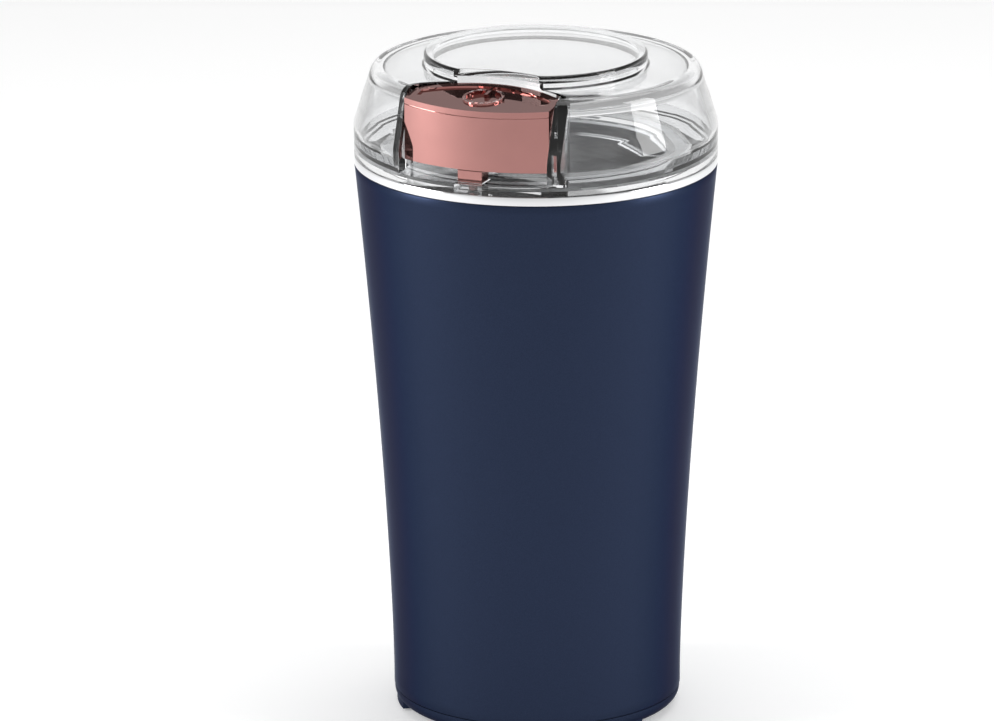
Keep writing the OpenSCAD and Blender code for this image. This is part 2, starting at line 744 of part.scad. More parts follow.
module cooling_fan() color([0.85, 0.85, 0.82]) {
    difference() {
        union() {
            rod(7, fan_z0, fan_z1);
            rod(fan_r, fan_z1 - 1.6, fan_z1);
            for (i = [0:fan_blades - 1]) rotate([0, 0, 360 * i / fan_blades]) intersection() {
                translate([fan_r * 0.62, -fan_r * 0.5, 0])
                    ring(fan_r * 0.62, fan_r * 0.62 - 1.3, fan_z0 + 1, fan_z1 - 1);
                box([-2, 0, 0], [fan_r, fan_r, fan_z1]);
                rod(fan_r, fan_z0, fan_z1);
            }
        }
        rod(shaft_r + seat_gap, fan_z0 - 1, fan_z1 + 1);
    }
}

// ---- Blades ----

module blade_spacer() color(steel) ring(6, shaft_r + seat_gap, seal_z1 + 0.3, blade_z);

// A flat two-winged blank whose leading edges are ground off at a slant
module blade_blank(length, z0) {
    difference() {
        union() {
            box([-length, -blade_w / 2, z0], [length, blade_w / 2, z0 + blade_t]);
            rod(blade_w / 2 + 1.5, z0, z0 + blade_t);
        }
        rod(shaft_r - 0.5 + seat_gap, z0 - 1, z0 + blade_t + 1);
        for (s = [0, 180]) rotate([0, 0, s]) {
            translate([length, blade_w / 2, z0 - 1]) rotate([0, 0, 155]) box([-10, -20, 0], [length, 0, blade_t + 2]);
            translate([8, -blade_w / 2, z0 + blade_t]) rotate([28, 0, 0]) box([0, -4, 0], [length, 4, 3]);
        }
    }
}

module lower_blade() color(steel) intersection() {
    blade_blank(blade_r, blade_z);
    rod(blade_r, 0, shaft_z1);
}

module upper_blade() color(steel) rotate([0, 0, 90]) {
    intersection() {
        blade_blank(blade_r * 0.62, blade_z + blade_t);
        rod(blade_r * 0.62, 0, shaft_z1);
    }
    for (s = [0, 180]) rotate([0, 0, s]) intersection() {
        translate([blade_r * 0.55, 0, blade_z + blade_t])
            rotate([0, -asin(blade_up / (blade_r * 0.38)), 0])
                box([-1, -blade_w / 2 + 2.6, 0], [blade_r * 0.42, blade_w / 2 - 2.6, blade_t]);
        rod(blade_r * 0.94, blade_z, blade_z + blade_t * 2 + blade_up + 2);
    }
}

module blade_nut() color(steel) translate([0, 0, blade_z + 2 * blade_t]) difference() {
    union() {
        cylinder(r = 5, h = nut_h - 1.6, $fn = 6);
        translate([0, 0, nut_h - 1.6]) cylinder(r1 = 4.2, r2 = 2.4, h = 1.6, $fn = 48);
    }
    translate([0, 0, -1]) cylinder(r = shaft_r - 0.5 + seat_gap, h = nut_h - 0.2);
}

// ---- Lid ----

slope_t = tan(lid_slope);

// The lid's outer line, drawn in by an inset for the inside
function lid_line(inset) =
    let (
        r = lid_r - inset,
        top = shoulder_z - inset,
        knee_z = lid_z0 + skirt_h - inset * tan(lid_slope / 2),
        corner_r = r - (top - knee_z) * slope_t,
        round_r = inset > 0 ? inner_round : shoulder_round,
        back = round_r * tan((90 - lid_slope) / 2),
        disc = disc_r - inset
    )
    concat(
        [[r, lid_z0 - (inset > 0 ? 1 : 0)], [r, knee_z]],
        arc([corner_r - back, top - round_r], round_r, lid_slope, 90, 6),
        inset > 0
            ? [[disc, top], [disc, disc_z - inset]]
            : concat([[disc + 0.5, top], [disc, top + 0.5]], arc([disc - 0.8, disc_z - 0.8], 0.8, 0, 90, 4)),
        [[0, disc_z - inset]]
    );

module lid_solid(inset) rotate_extrude() polygon(concat([[0, lid_z0 - (inset > 0 ? 1 : 0)]], lid_line(inset)));

bow_y = button_back + back_bow;
corner_x = button_half_w - back_corner;
corner_y = bow_y - sqrt(pow(back_bow - back_corner, 2) - pow(corner_x, 2));
tangent_x = corner_x * back_bow / (back_bow - back_corner);

// The button's outline as an upright block: bowed back, rounded back corners, straight sides.
// grow moves the outline outwards.
module button_block(grow, z0, z1, front) {
    intersection() {
        rod(front, z0, z1);
        union() {
            intersection() {
                translate([0, -bow_y, 0]) rod(back_bow + grow, z0, z1);
                box([-tangent_x, -bow_y, z0], [tangent_x, 0, z1]);
            }
            for (s = [-1, 1]) translate([s * corner_x, -corner_y, 0]) rod(back_corner + grow, z0, z1);
            box([-button_half_w - grow, -lid_r - 2, z0], [button_half_w + grow, -corner_y, z1]);
        }
    }
}

rib_w = 4;
rib_h = 4;
rib_y = button_front - 9;
rib_proud = 0.9;
button_z0 = lid_z0 + button_low;
leg_pin_r = head_r - 0.2;
leg_y0 = head_at - leg_pin_r - 0.6;
leg_z0 = flange_z1 + button_travel + 0.3;
spring_at = button_front - 12;
spring_r = 3.4;
spring_wire = 0.35;

// The lid's foot: a ring over the bowl's flange that slopes up into the side
module lid_foot() {
    side_r = lid_r - lid_wall;
    top_z = lid_z0 + lid_wall;
    rotate_extrude() polygon([
        [lip_r - lip_t, lid_z0], [lid_r - 0.5, lid_z0], [lid_r - 0.5, top_z + heel_h], [side_r, top_z + heel_h],
        [side_r - heel_w, top_z], [lip_r - lip_t, top_z]
    ]);
}

module lid_shell() color(clear_plastic) {
    difference() {
        intersection() {
            lid_solid(0);
            union() {
                difference() {
                    rod(lid_r + 1, lid_z0, disc_z + 1);
                    lid_solid(lid_wall);
                }
                lid_foot();
                button_block(button_gap + lid_wall, lid_z0, disc_z + 1, lid_r + 1);
            }
        }
        button_block(button_gap, deck_top, disc_z + 5, lid_r + 5);
        // slot for the button's leg
        box([-leg_w / 2 - 0.4, -button_front - 0.4, lid_z0 - 1], [leg_w / 2 + 0.4, -leg_y0 + 0.4, deck_top + 1]);
        // grooves in which the button's ribs run
        for (s = [-1, 1]) box(
            [s * button_half_w - rib_proud - 0.3, -rib_y - rib_w / 2 - 0.3, deck_top],
            [s * button_half_w + rib_proud + 0.3, -rib_y + rib_w / 2 + 0.3, button_z0 + rib_h + 0.3]);
    }
    // lip that reaches into the bowl
    ring(lip_r, lip_r - lip_t, lid_z0 - lip_h, lid_z0 + skin);
    // key that lets the lid seat one way only
    box([-key_w / 2, key_in, lid_z0 - 2], [key_w / 2, key_out, lid_z0 + skin]);
    // pin that centres the button's spring
    at_turn(0, spring_at) rod(spring_r - spring_wire - 0.4, deck_top - skin, deck_top + 1.2);
}

module lid_seal() color(silicone) difference() {
    ring(bowl_out + 2.4, lip_r + 0.05, flange_z1 + 0.15, lid_z0);
    rim_holes(0.8);
}

// ---- Button ----

button_top_z = button_z0 + button_face_h;      // height of the top's front edge

// Everything below the button's sloping top, lowered by drop
module under_top(drop) {
    translate([0, -button_front, button_top_z - drop]) rotate([button_slope, 0, 0])
        box([-lid_r, -button_depth, -2 * shoulder_h], [lid_r, 2 * button_depth, 0]);
}

seam = 0.25;                                  // line between the button's cover and its shell

module button_shell() color(rose) {
    difference() {
        union() {
            intersection() {
                button_block(0, button_z0, disc_z + 2, button_front);
                under_top(cover_t + seam);
            }
            intersection() {
                button_block(-seam, button_z0, disc_z + 2, button_front - seam);
                under_top(cover_t);
            }
            for (s = [-1, 1]) box(
                [s * (button_half_w - 0.5 + rib_proud / 2) - 0.5 - rib_proud / 2, -rib_y - rib_w / 2, button_z0],
                [s * (button_half_w - 0.5 + rib_proud / 2) + 0.5 + rib_proud / 2, -rib_y + rib_w / 2, button_z0 + rib_h]);
        }
        intersection() {
            button_block(-button_wall, button_z0 - 1, disc_z, button_front - button_wall);
            under_top(cover_t + button_wall);
        }
    }
}

symbol_at = button_front - 9.6;
symbol_h = 0.5;
symbol_gap = symbol_line + 0.7;              // half of the gap in the symbol's ring

module power_symbol() {
    translate([0, -button_front, button_top_z]) rotate([button_slope, 0, 0])
        translate([0, button_front - symbol_at, 0]) {
            difference() {
                rod(symbol_r, -dish_depth - 0.2, symbol_h);
                rod(symbol_r - symbol_line, -1, symbol_h + 1);
                box([-symbol_gap, 0, -1], [symbol_gap, symbol_r + 1, symbol_h + 1]);
            }
            box([-symbol_line / 2, 1.4, -dish_depth - 0.2], [symbol_line / 2, symbol_r + 1, symbol_h]);
        }
}

module button_cover() color(rose) {
    difference() {
        intersection() {
            button_block(0, button_z0, disc_z + 2, button_front);
            under_top(0);
        }
        under_top(cover_t);
        intersection() {
            button_block(-dish_edge, button_z0, disc_z + 4, button_front);
            difference() {
                translate([0, 0, 10]) under_top(0);
                under_top(dish_depth);
            }
            box([-button_half_w, -button_front + dish_inset, 0], [button_half_w, 0, disc_z + 10]);
        }
    }
    power_symbol();
}

plate_h = 1.6;
tray_z = button_z0 + 5;                        // underside of the tray inside the button

module button_carrier() color(rose) {
    difference() {
        button_block(-button_wall - 0.1, tray_z, tray_z + plate_h, button_front - button_wall - 0.1);
        at_turn(0, spring_at) rod(1.2, tray_z - 1, tray_z + 5);
    }
    box([-leg_w / 2, -button_front + button_wall + 0.4, leg_z0], [leg_w / 2, -leg_y0, tray_z + 0.5]);
    box([-leg_w / 2, -button_front, leg_z0], [leg_w / 2, -leg_y0, button_z0 - 0.05]);
    at_turn(0, head_at) rod(leg_pin_r, head_top + 0.25, leg_z0 + 1);
    for (s = [-1, 1]) translate([s * (corner_x - 1.5), -corner_y - 1, 0])
        rod(2, tray_z, button_top_z - cover_t - button_wall - 0.3);
}

button_coil = [spring_r, spring_wire, deck_top + spring_wire + 0.05, tray_z - spring_wire - 0.1, 4];
echo(least_gap_button_spring = coil_gap(button_coil));

module button_spring() color(steel) at_turn(0, spring_at) coil(button_coil);

// ---- Push rod and switch ----

module push_rod() color(black) {
    at_turn(0, head_at) {
        rod(head_r, arm_z0, head_top);
        rod(shoulder_r, shoulder_top - shoulder_t, shoulder_top);
    }
    box([-2.5, -head_at - head_r, arm_z0], [2.5, -rod_at + rod_r, arm_z1]);
    at_turn(0, rod_at) rod(rod_r, foot_z, arm_z1);
    box([-rod_r, -rod_at - 0.8, foot_z], [lever_pivot_x + foot_arm, switch_y + 1.5, foot_z + 2]);
}

rod_coil = [rod_spring_r, rod_spring_wire, pocket_z0 + rod_spring_wire + 0.05,
    pocket_z0 + rod_spring_len - rod_spring_wire - 0.1, 4];
echo(least_gap_rod_spring = coil_gap(rod_coil));

module rod_spring() color(steel) at_turn(0, head_at) coil(rod_coil);

module switch_body() color(black) difference() {
    union() {
        box([-switch_half_w, switch_y - switch_d / 2, switch_z1 - switch_h],
            [switch_half_w, switch_y + switch_d / 2, switch_z1]);
        for (s = [-1, 1]) box([lever_pivot_x - 1.2, switch_y + s * 2.6 - 0.5, switch_z1 - 1],
            [lever_pivot_x + 1.2, switch_y + s * 2.6 + 0.5, pivot_z + 1]);
        translate([lever_pivot_x, switch_y + 3.1, pivot_z]) rotate([90, 0, 0]) cylinder(r = 0.6, h = 6.2);
    }
    switch_holes(switch_screw_r + 0.15);
}

terminal_step = 7.5;
terminal_h = 6;
switch_head_h = 1.2;

module switch_terminals() color(brass) for (x = [-1, 0, 1] * terminal_step) box(
    [x - 1.6, switch_y - 0.3, switch_z1 - switch_h - terminal_h], [x + 1.6, switch_y + 0.3, switch_z1 - switch_h]);

module switch_screws() color(steel) {
    for (x = [-switch_hole_x, switch_hole_x]) translate([x, switch_y - switch_d / 2, switch_hole_z]) rotate([90, 0, 0]) {
        rod(switch_screw_r + 1.1, 0, switch_head_h);
        rod(switch_screw_r, -switch_d - tab_t - 0.2, switch_head_h - 0.2);
    }
}

module switch_lever() color(steel) {
    translate([lever_pivot_x, switch_y, pivot_z]) rotate([0, -lever_angle, 0]) difference() {
        union() {
            box([0, -1.9, lever_low], [lever_len, 1.9, lever_low + lever_t]);
            translate([0, 1.9, 0]) rotate([90, 0, 0]) cylinder(r = lever_hub_r, h = 3.8);
        }
        translate([0, 3, 0]) rotate([90, 0, 0]) cylinder(r = 0.6 + bore_gap, h = 6);
    }
}

// ---- Wires inside the body ----

wire_r = 0.8;

function sub(a, b) = [a[0] - b[0], a[1] - b[1], a[2] - b[2]];

// A tube of wire along a list of points
module wire(path, r = wire_r, sides = 8) {
    n = len(path) - 1;
    rows = [for (i = [0:n])
        let (
            d = sub(path[min(i + 1, n)], path[max(i - 1, 0)]),
            w = d / norm(d),
            side = cross(w, abs(w[2]) > 0.8 ? [1, 0, 0] : [0, 0, 1]),
            u = side / norm(side),
            v = cross(w, u)
        )
        [for (k = [0:sides - 1]) path[i] + r * cos(360 * k / sides) * u + r * sin(360 * k / sides) * v]];
    points = [for (row = rows, p = row) p];
    walls = [for (i = [0:n - 1], k = [0:sides - 1])
        let (a = i * sides + k, b = i * sides + (k + 1) % sides)
        each [[a, b, a + sides], [b, b + sides, a + sides]]];
    ends = [for (k = [1:sides - 2]) each [[0, k + 1, k], [n * sides, n * sides + k, n * sides + k + 1]]];
    polyhedron(points, concat(walls, ends), convexity = 6);
}

// Points on a smooth line through four corners
function bend(a, b, c, d, n = 14) = [for (i = [0:n]) let (t = i / n, s = 1 - t)
    s * s * s * a + 3 * s * s * t * b + 3 * s * t * t * c + t * t * t * d];

module lead_wires() color([0.6, 0.1, 0.1]) {
    terminal_z = switch_z1 - switch_h - terminal_h - clear;
    for (s = [-1, 1]) wire(bend(
        [s * terminal_step, switch_y, terminal_z], [s * terminal_step, switch_y, lower_z1],
        [s * (holder_out + 1), switch_y / 2, lower_z1], [s * (holder_out + wire_r + 0.2), 0, holder_z]));
}

body_shell();
base_cover();
foot_pads();
case_screws();
cord_grommet();
rim_ring();
grinding_bowl();
bowl_seat();
shaft_seal();
bowl_carrier();
motor_dampers();
motor_screws();
upper_bracket();
upper_bearing();
lower_bracket();
lower_bearing();
stator_core();
field_coils();
stator_screws();
brush_holders();
carbon_brushes();
brush_springs();
switch_body();
switch_terminals();
switch_screws();
rod_spring();
motor_shaft();
armature_core();
armature_windings();
commutator();
cooling_fan();
blade_spacer();
lower_blade();
upper_blade();
blade_nut();
lid_shell();
lid_seal();
button_spring();
button_shell();
button_cover();
button_carrier();
push_rod();
switch_lever();
lead_wires();
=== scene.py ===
# Electric spice grinder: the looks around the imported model. Metres, +Z up, the button faces -Y.
import json
import math

import bmesh
import bpy
from mathutils import Matrix, Vector


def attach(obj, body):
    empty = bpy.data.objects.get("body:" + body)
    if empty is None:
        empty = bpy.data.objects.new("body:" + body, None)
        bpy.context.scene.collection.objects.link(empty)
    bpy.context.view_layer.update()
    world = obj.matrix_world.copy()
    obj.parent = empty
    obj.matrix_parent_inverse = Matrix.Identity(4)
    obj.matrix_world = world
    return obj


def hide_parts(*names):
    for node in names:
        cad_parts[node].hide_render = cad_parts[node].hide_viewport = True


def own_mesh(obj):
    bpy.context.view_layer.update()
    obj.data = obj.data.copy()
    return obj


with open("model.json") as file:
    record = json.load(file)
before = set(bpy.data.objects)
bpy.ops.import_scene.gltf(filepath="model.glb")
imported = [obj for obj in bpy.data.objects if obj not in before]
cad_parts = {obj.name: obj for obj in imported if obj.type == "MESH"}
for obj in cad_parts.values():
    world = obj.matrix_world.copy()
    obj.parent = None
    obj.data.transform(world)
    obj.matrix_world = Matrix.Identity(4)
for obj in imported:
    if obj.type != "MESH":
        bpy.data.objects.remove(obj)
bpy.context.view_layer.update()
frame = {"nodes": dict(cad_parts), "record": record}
nodes = frame["nodes"]
mm = 0.001
print("frame loaded:", len(nodes), "nodes")

noiseSpan = (0.3, 0.7)  # nearly all of a noise lies between these


def node(tree, kind, **values):
    n = tree.nodes.new(kind)
    for key, value in values.items():
        setattr(n, key, value)
    return n


def link(tree, source, socket):
    if isinstance(source, (int, float)):
        socket.default_value = source
    else:
        tree.links.new(source, socket)


def spread(tree, value, low, high, span=noiseSpan):
    n = node(tree, "ShaderNodeMapRange")
    for key, number in zip(("From Min", "From Max", "To Min", "To Max"), (*span, low, high)):
        n.inputs[key].default_value = number
    link(tree, value, n.inputs["Value"])
    return n.outputs["Result"]


def shaderOf(mat):
    return mat.node_tree.nodes["Principled BSDF"]


def newMaterial(name, colour, metallic, rough, **sockets):
    mat = bpy.data.materials.new(name)
    mat.use_nodes = True
    values = {"Base Color": (*colour, 1), "Metallic": metallic, "Roughness": rough}
    values.update((key.replace("_", " "), value) for key, value in sockets.items())
    for key, value in values.items():
        shaderOf(mat).inputs[key].default_value = value
    return mat


def objectSpace(mat, scale=(1, 1, 1)):
    tree = mat.node_tree
    mapping = node(tree, "ShaderNodeMapping")
    mapping.inputs["Scale"].default_value = scale
    link(tree, node(tree, "ShaderNodeTexCoord").outputs["Object"], mapping.inputs["Vector"])
    return mapping.outputs["Vector"]


def noise(mat, vector, size, detail=2.0):
    n = node(mat.node_tree, "ShaderNodeTexNoise")
    n.inputs["Scale"].default_value = 1 / size
    n.inputs["Detail"].default_value = detail
    n.inputs["Roughness"].default_value = 0.55
    link(mat.node_tree, vector, n.inputs["Vector"])
    return n.outputs["Fac"]


def mottle(mat, value, colour, share):  # the colour, darker and lighter by a share of itself
    ramp = node(mat.node_tree, "ShaderNodeValToRGB")
    for stop, position, factor in zip(ramp.color_ramp.elements, noiseSpan, (1 - share, 1 + share)):
        stop.position = position
        stop.color = (*(c * factor for c in colour), 1)
    link(mat.node_tree, value, ramp.inputs["Fac"])
    link(mat.node_tree, ramp.outputs["Color"], shaderOf(mat).inputs["Base Color"])


def roughen(mat, value, low, high):
    link(mat.node_tree, spread(mat.node_tree, value, low, high), shaderOf(mat).inputs["Roughness"])


def bump(mat, height, depth):
    n = node(mat.node_tree, "ShaderNodeBump")
    n.inputs["Strength"].default_value = 1
    n.inputs["Distance"].default_value = depth
    link(mat.node_tree, height, n.inputs["Height"])
    link(mat.node_tree, n.outputs["Normal"], shaderOf(mat).inputs["Normal"])


navyPaint = {"colour": (0.0215, 0.0305, 0.0600), "metallic": 0.8, "rough": 0.33, "flake": 0.25 * mm}
navyPlastic = {"colour": (0.0195, 0.0275, 0.0545), "metallic": 0.78, "rough": 0.38, "flake": 0.3 * mm}
navy = {"gloss": 0.25, "tint": (0.2, 0.25, 0.36, 1), "share": 0.1, "cloud": 12 * mm, "uneven": 0.01,
        "depth": 0.004 * mm}


def makeNavy(name, p):
    mat = newMaterial(name, p["colour"], p["metallic"], p["rough"],
                      Specular_IOR_Level=navy["gloss"], Specular_Tint=navy["tint"])
    where = objectSpace(mat)
    flakes = noise(mat, where, p["flake"], 1)
    mottle(mat, flakes, p["colour"], navy["share"])
    clouds = noise(mat, where, navy["cloud"])
    roughen(mat, clouds, p["rough"] - navy["uneven"], p["rough"] + navy["uneven"])
    bump(mat, flakes, navy["depth"])
    return mat


roseFinish = {"colour": (0.40, 0.188, 0.172), "metallic": 0.96, "rough": 0.04, "coat": 0.25,
              "coatRough": 0.04, "share": 0.03, "cloud": 9 * mm, "grain": 0.3 * mm,
              "smoother": 0.02, "rougher": 0.03}


def makeRoseFinish():
    p = roseFinish
    mat = newMaterial("roseFinish", p["colour"], p["metallic"], p["rough"],
                      Coat_Weight=p["coat"], Coat_Roughness=p["coatRough"])
    where = objectSpace(mat)
    mottle(mat, noise(mat, where, p["cloud"]), p["colour"], p["share"])
    roughen(mat, noise(mat, where, p["grain"]), p["rough"] - p["smoother"], p["rough"] + p["rougher"])
    return mat


clearPlastic = {"colour": (0.94, 0.945, 0.95), "ior": 1.49, "rough": 0.012, "cloud": 6 * mm,
                "smoother": 0.006, "rougher": 0.008, "shade": 0.93}


def makeClearPlastic():
    p = clearPlastic
    mat = newMaterial("clearPlastic", p["colour"], 0, p["rough"], IOR=p["ior"], Transmission_Weight=1.0)
    clouds = noise(mat, objectSpace(mat), p["cloud"])
    roughen(mat, clouds, p["rough"] - p["smoother"], p["rough"] + p["rougher"])
    # lamps pass through the clear wall, so what stands inside the lid is lit
    tree = mat.node_tree
    through = node(tree, "ShaderNodeBsdfTransparent")
    through.inputs["Color"].default_value = (p["shade"], p["shade"], p["shade"], 1)
    mix = node(tree, "ShaderNodeMixShader")
    link(tree, node(tree, "ShaderNodeLightPath").outputs["Is Shadow Ray"], mix.inputs["Fac"])
    link(tree, shaderOf(mat).outputs["BSDF"], mix.inputs[1])
    link(tree, through.outputs["BSDF"], mix.inputs[2])
    link(tree, mix.outputs["Shader"], tree.nodes["Material Output"].inputs["Surface"])
    return mat


brightChrome = {"colour": (0.78, 0.785, 0.795), "rough": 0.05, "cloud": 3 * mm,
                "smoother": 0.015, "rougher": 0.025}


def makeBrightChrome():
    p = brightChrome
    mat = newMaterial("brightChrome", p["colour"], 1, p["rough"])
    clouds = noise(mat, objectSpace(mat), p["cloud"], 3)
    roughen(mat, clouds, p["rough"] - p["smoother"], p["rough"] + p["rougher"])
    return mat


bowlSteel = {"colour": (0.78, 0.785, 0.79), "rough": 0.16, "line": 0.35 * mm, "stretch": (0.04, 0.04, 1),
             "smoother": 0.05, "rougher": 0.08, "depth": 0.003 * mm}


def makeBowlSteel():
    p = bowlSteel
    mat = newMaterial("bowlSteel", p["colour"], 1, p["rough"])
    lines = noise(mat, objectSpace(mat, p["stretch"]), p["line"])  # spun lines run round the bowl
    roughen(mat, lines, p["rough"] - p["smoother"], p["rough"] + p["rougher"])
    bump(mat, lines, p["depth"])
    return mat


metalKind = {"metallic": 1, "share": 0.06, "depth": 0.004 * mm, "cloud": 20 * mm, "uneven": 0.12}
dullKind = {"metallic": 0, "share": 0.12, "depth": 0.02 * mm, "cloud": 20 * mm, "uneven": 0.12}
plainFinishes = {  # slot: kind, colour, roughness, size of the grain
    "blade_steel": (metalKind, (0.62, 0.63, 0.65), 0.24, 0.3 * mm),
    "shaft_steel": (metalKind, (0.58, 0.59, 0.61), 0.28, 0.3 * mm),
    "bracket_steel": (metalKind, (0.55, 0.56, 0.58), 0.42, 1.2 * mm),
    "screw_steel": (metalKind, (0.52, 0.52, 0.54), 0.34, 0.5 * mm),
    "spring_steel": (metalKind, (0.58, 0.59, 0.60), 0.26, 0.3 * mm),
    "core_steel": (metalKind, (0.28, 0.28, 0.30), 0.5, 0.6 * mm),
    "bearing_bronze": (metalKind, (0.50, 0.36, 0.20), 0.45, 0.4 * mm),
    "copper_wire": (metalKind, (0.55, 0.24, 0.12), 0.38, 0.5 * mm),
    "brass_parts": (metalKind, (0.68, 0.52, 0.24), 0.3, 0.6 * mm),
    "black_plastic": (dullKind, (0.022, 0.022, 0.024), 0.48, 0.4 * mm),
    "carbon": (dullKind, (0.020, 0.020, 0.021), 0.6, 0.3 * mm),
    "fan_plastic": (dullKind, (0.62, 0.62, 0.58), 0.5, 0.5 * mm),
    "black_rubber": (dullKind, (0.020, 0.020, 0.020), 0.75, 0.5 * mm),
    "pale_silicone": (dullKind, (0.70, 0.71, 0.72), 0.55, 0.6 * mm),
    "wire_cover": (dullKind, (0.42, 0.04, 0.035), 0.35, 0.5 * mm),
}


def makePlain(slot, kind, colour, rough, grain):
    first, *others = slot.split("_")
    mat = newMaterial(first + "".join(word.title() for word in others), colour, kind["metallic"], rough)
    where = objectSpace(mat)
    fine = noise(mat, where, grain, 3)
    mottle(mat, noise(mat, where, kind["cloud"]), colour, kind["share"])
    roughen(mat, fine, rough * (1 - kind["uneven"]), min(1, rough * (1 + kind["uneven"])))
    bump(mat, fine, kind["depth"])
    return mat


finishes = {
    "navy_paint": makeNavy("navyPaint", navyPaint),
    "navy_plastic": makeNavy("navyPlastic", navyPlastic),
    "rose_finish": makeRoseFinish(),
    "clear_plastic": makeClearPlastic(),
    "bright_chrome": makeBrightChrome(),
    "bowl_steel": makeBowlSteel(),
}
for slot, values in plainFinishes.items():
    finishes[slot] = makePlain(slot, *values)

slotOf = {part["node"]: part["material_slot"] for part in frame["record"]["subparts"]}
bodyOf = {n: body for body, names in frame["record"]["behaviour"]["bodies"].items() for n in names}


def dress(obj, nodeName):
    obj.data.materials.clear()
    obj.data.materials.append(finishes[slotOf[nodeName]])


for name, obj in nodes.items():
    dress(obj, name)
print("materials made:", len(finishes))

sharpFrom = math.radians(38)  # edges that turn by more than this stay sharp


def finishPiece(obj, nodeName):
    dress(obj, nodeName)
    obj.data.shade_smooth()
    obj.data.set_sharp_from_angle(angle=sharpFrom)
    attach(obj, bodyOf[nodeName])
    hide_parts(nodeName)
    return obj


def fromMesh(bm, name):
    mesh = bpy.data.meshes.new(name)
    bm.to_mesh(mesh)
    bm.free()
    obj = bpy.data.objects.new(name, mesh)
    bpy.context.scene.collection.objects.link(obj)
    return obj


def turned(name, profile, steps):  # a closed outline of radius and height, spun about Z
    bm = bmesh.new()
    verts = [bm.verts.new((r * mm, 0, z * mm)) for r, z in profile]
    edges = [bm.edges.new(pair) for pair in zip(verts, verts[1:] + verts[:1])]
    bmesh.ops.spin(bm, geom=verts + edges, cent=(0, 0, 0), axis=(0, 0, 1), dvec=(0, 0, 0),
                   angle=2 * math.pi, steps=steps, use_merge=True, use_duplicate=False)
    bmesh.ops.remove_doubles(bm, verts=bm.verts, dist=1e-6)
    bmesh.ops.recalc_face_normals(bm, faces=bm.faces)
    return fromMesh(bm, name)


def rounded(corners, steps):  # corners of radius, height and size of the rounding
    out = []
    for i, (r, z, size) in enumerate(corners):
        here = Vector((r, z))
        before = Vector(corners[i - 1][:2]) - here
        after = Vector(corners[(i + 1) % len(corners)][:2]) - here
        most = 0.45 * min(before.length, after.length)  # so that two roundings share an edge
        back = min(size / math.tan(before.angle(after) / 2), most)
        start, end = here + before.normalized() * back, here + after.normalized() * back
        for k in range(steps + 1):
            t = k / steps
            out.append(tuple(start.lerp(here, t).lerp(here.lerp(end, t), t)))
    return out


def cut(obj, cutter):
    mod = obj.modifiers.new("cut", "BOOLEAN")
    mod.operation = "DIFFERENCE"
    mod.solver = "EXACT"
    mod.object = cutter
    bpy.context.view_layer.objects.active = obj
    bpy.ops.object.modifier_apply(modifier=mod.name)
    bpy.data.objects.remove(cutter)


def drill(radius, start, end):
    start, end = Vector(start) * mm, Vector(end) * mm
    along = end - start
    bm = bmesh.new()
    bmesh.ops.create_cone(bm, cap_ends=True, segments=48, radius1=radius * mm, radius2=radius * mm,
                          depth=along.length)
    facing = along.to_track_quat("Z", "Y").to_matrix().to_4x4()
    bm.transform(Matrix.Translation((start + end) / 2) @ facing)
    return fromMesh(bm, "drill")


def block(low, high):
    low, high = Vector(low) * mm, Vector(high) * mm
    bm = bmesh.new()
    bmesh.ops.create_cube(bm, size=1)
    bm.transform(Matrix.Translation((low + high) / 2) @ Matrix.Diagonal((*(high - low), 1)))
    return fromMesh(bm, "block")


body = {"topRadius": 47.5, "footRadius": 38.1, "wall": 1.2, "foot": 5.1, "top": 148.3, "straight": 3.0,
        "flare": 1.45, "edge": 0.35, "edgeBow": 0.3, "rows": 60, "steps": 224,
        "inletTurn": -120, "inletHeight": 15.5, "inletRadius": 4.6, "inletFrom": 30, "inletTo": 50}


def shellRadius(z):
    b = body
    t = max(0.0, (z - b["foot"] - b["straight"]) / (b["top"] - b["foot"] - b["straight"]))
    return b["footRadius"] + (b["topRadius"] - b["footRadius"]) * t ** b["flare"]


def makeBody():
    b = body
    foot, top, edge = b["foot"], b["top"], b["edge"]
    bow = edge * b["edgeBow"]
    heights = [foot + (top - foot) * i / b["rows"] for i in range(b["rows"] + 1)]
    low, high = shellRadius(foot), shellRadius(top)
    outside = [(low - edge, foot), (low - bow, foot + bow), (low, foot + edge)]
    outside += [(shellRadius(z), z) for z in heights[1:-1]]
    outside += [(high, top - edge), (high - bow, top - bow), (high - edge, top)]
    inside = [(shellRadius(z) - b["wall"], z) for z in reversed(heights)]
    obj = turned("bodyShell", outside + inside, b["steps"])
    turn = math.radians(b["inletTurn"])
    aim = Vector((math.sin(turn), -math.cos(turn), 0))
    inlet = Vector((0, 0, b["inletHeight"]))
    cut(obj, drill(b["inletRadius"], inlet + aim * b["inletFrom"], inlet + aim * b["inletTo"]))
    finishPiece(obj, "body_shell")


makeBody()

rim = {"radius": 47.6, "inner": 37.5, "low": 148.3, "high": 150.8, "shelf": 149.3, "step": 46.1,
       "edge": 0.1, "underIn": 0.25, "underUp": 0.35, "underEdge": 0.05, "sideEdge": 0.15, "topEdge": 0.45,
       "stepEdge": 0.2, "edgeSteps": 5, "steps": 256,
       "headAt": 41.9, "headRadius": 1.7, "keyHalf": 3.4, "keyIn": 40.6, "keyOut": 44.4, "past": 2}


